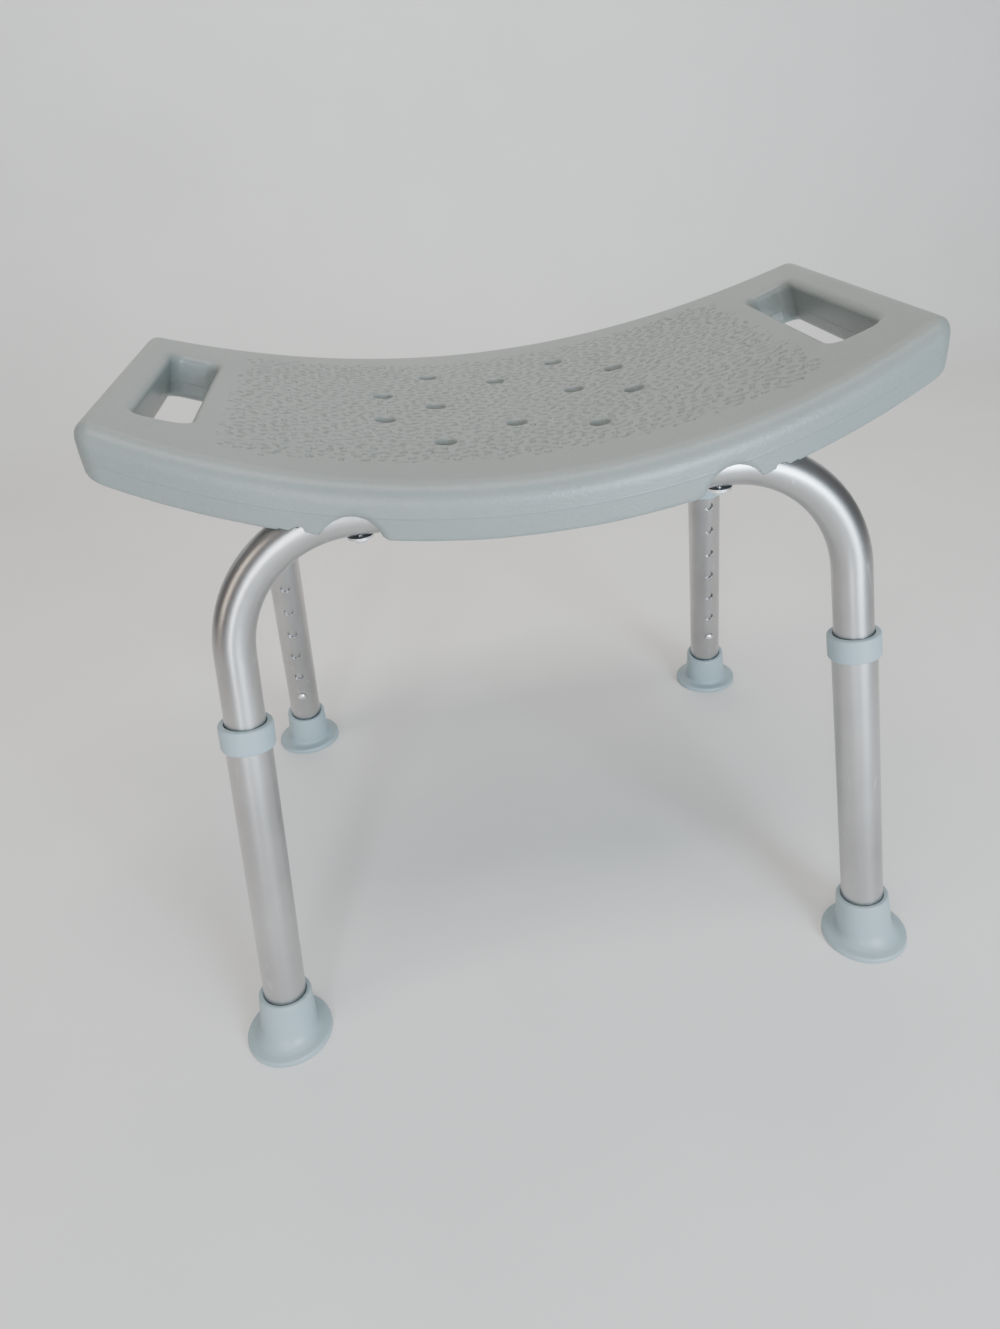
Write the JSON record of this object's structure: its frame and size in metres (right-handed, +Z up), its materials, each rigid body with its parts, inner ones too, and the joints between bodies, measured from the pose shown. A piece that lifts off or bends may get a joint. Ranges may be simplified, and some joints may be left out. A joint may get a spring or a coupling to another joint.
{
  "type": "shower stool",
  "caption": "Height-adjustable shower stool with a curved, drained plastic seat, hand holes and telescoping splayed legs with push-button locks.",
  "frame": {"origin": "on the floor under the middle of the seat", "axes": "+X along the seat to its right end, +Y to the rear, +Z up"},
  "size_m": [0.498, 0.4206, 0.4245],
  "materials": {
    "seat_plastic": "moulded, satin, lightly textured",
    "tube_aluminium": "satin anodised",
    "fitting_plastic": "moulded, satin",
    "foot_rubber": "moulded, soft matt",
    "steel": "bright plated",
    "washer_steel": "plain",
    "brass": "plain turned"
  },
  "bodies": {
    "seat_and_frame": {"seat": "seat_plastic", "front_frame_tube": "tube_aluminium", "rear_frame_tube": "tube_aluminium", "seat_screws": "steel", "seat_washers": "steel", "seat_inserts": "brass", "snap_spring_front_left": "steel", "snap_spring_front_right": "steel", "snap_spring_rear_left": "steel", "snap_spring_rear_right": "steel"},
    "leg_front_left": {"leg_tube_front_left": "tube_aluminium", "leg_collar_front_left": "fitting_plastic", "foot_front_left": "foot_rubber", "foot_washer_front_left": "washer_steel"},
    "button_front_left": {"snap_button_front_left": "steel"},
    "leg_front_right": {"leg_tube_front_right": "tube_aluminium", "leg_collar_front_right": "fitting_plastic", "foot_front_right": "foot_rubber", "foot_washer_front_right": "washer_steel"},
    "button_front_right": {"snap_button_front_right": "steel"},
    "leg_rear_left": {"leg_tube_rear_left": "tube_aluminium", "leg_collar_rear_left": "fitting_plastic", "foot_rear_left": "foot_rubber", "foot_washer_rear_left": "washer_steel"},
    "button_rear_left": {"snap_button_rear_left": "steel"},
    "leg_rear_right": {"leg_tube_rear_right": "tube_aluminium", "leg_collar_rear_right": "fitting_plastic", "foot_rear_right": "foot_rubber", "foot_washer_rear_right": "washer_steel"},
    "button_rear_right": {"snap_button_rear_right": "steel"}
  },
  "joints": [
    {"name": "leg_slide_front_left", "type": "slide", "parent": "seat_and_frame", "child": "leg_front_left", "axis": [-0.0802, -0.137, -0.9873], "range_m": [0, 0.1524]},
    {"name": "button_press_front_left", "type": "slide", "parent": "seat_and_frame", "child": "button_front_left", "axis": [0, -0.9905, 0.1374], "range_m": [0, 0.00405], "stiffness_N_per_m": 400, "springref_m": -0.01, "deforming": ["snap_spring_front_left"]},
    {"name": "leg_slide_front_right", "type": "slide", "parent": "seat_and_frame", "child": "leg_front_right", "axis": [0.0802, -0.137, -0.9873], "range_m": [0, 0.1524]},
    {"name": "button_press_front_right", "type": "slide", "parent": "seat_and_frame", "child": "button_front_right", "axis": [0, -0.9905, 0.1374], "range_m": [0, 0.00405], "stiffness_N_per_m": 400, "springref_m": -0.01, "deforming": ["snap_spring_front_right"]},
    {"name": "leg_slide_rear_left", "type": "slide", "parent": "seat_and_frame", "child": "leg_rear_left", "axis": [-0.0802, 0.137, -0.9873], "range_m": [0, 0.1524]},
    {"name": "button_press_rear_left", "type": "slide", "parent": "seat_and_frame", "child": "button_rear_left", "axis": [0, 0.9905, 0.1374], "range_m": [0, 0.00405], "stiffness_N_per_m": 400, "springref_m": -0.01, "deforming": ["snap_spring_rear_left"]},
    {"name": "leg_slide_rear_right", "type": "slide", "parent": "seat_and_frame", "child": "leg_rear_right", "axis": [0.0802, 0.137, -0.9873], "range_m": [0, 0.1524]},
    {"name": "button_press_rear_right", "type": "slide", "parent": "seat_and_frame", "child": "button_rear_right", "axis": [0, 0.9905, 0.1374], "range_m": [0, 0.00405], "stiffness_N_per_m": 400, "springref_m": -0.01, "deforming": ["snap_spring_rear_right"]}
  ]
}
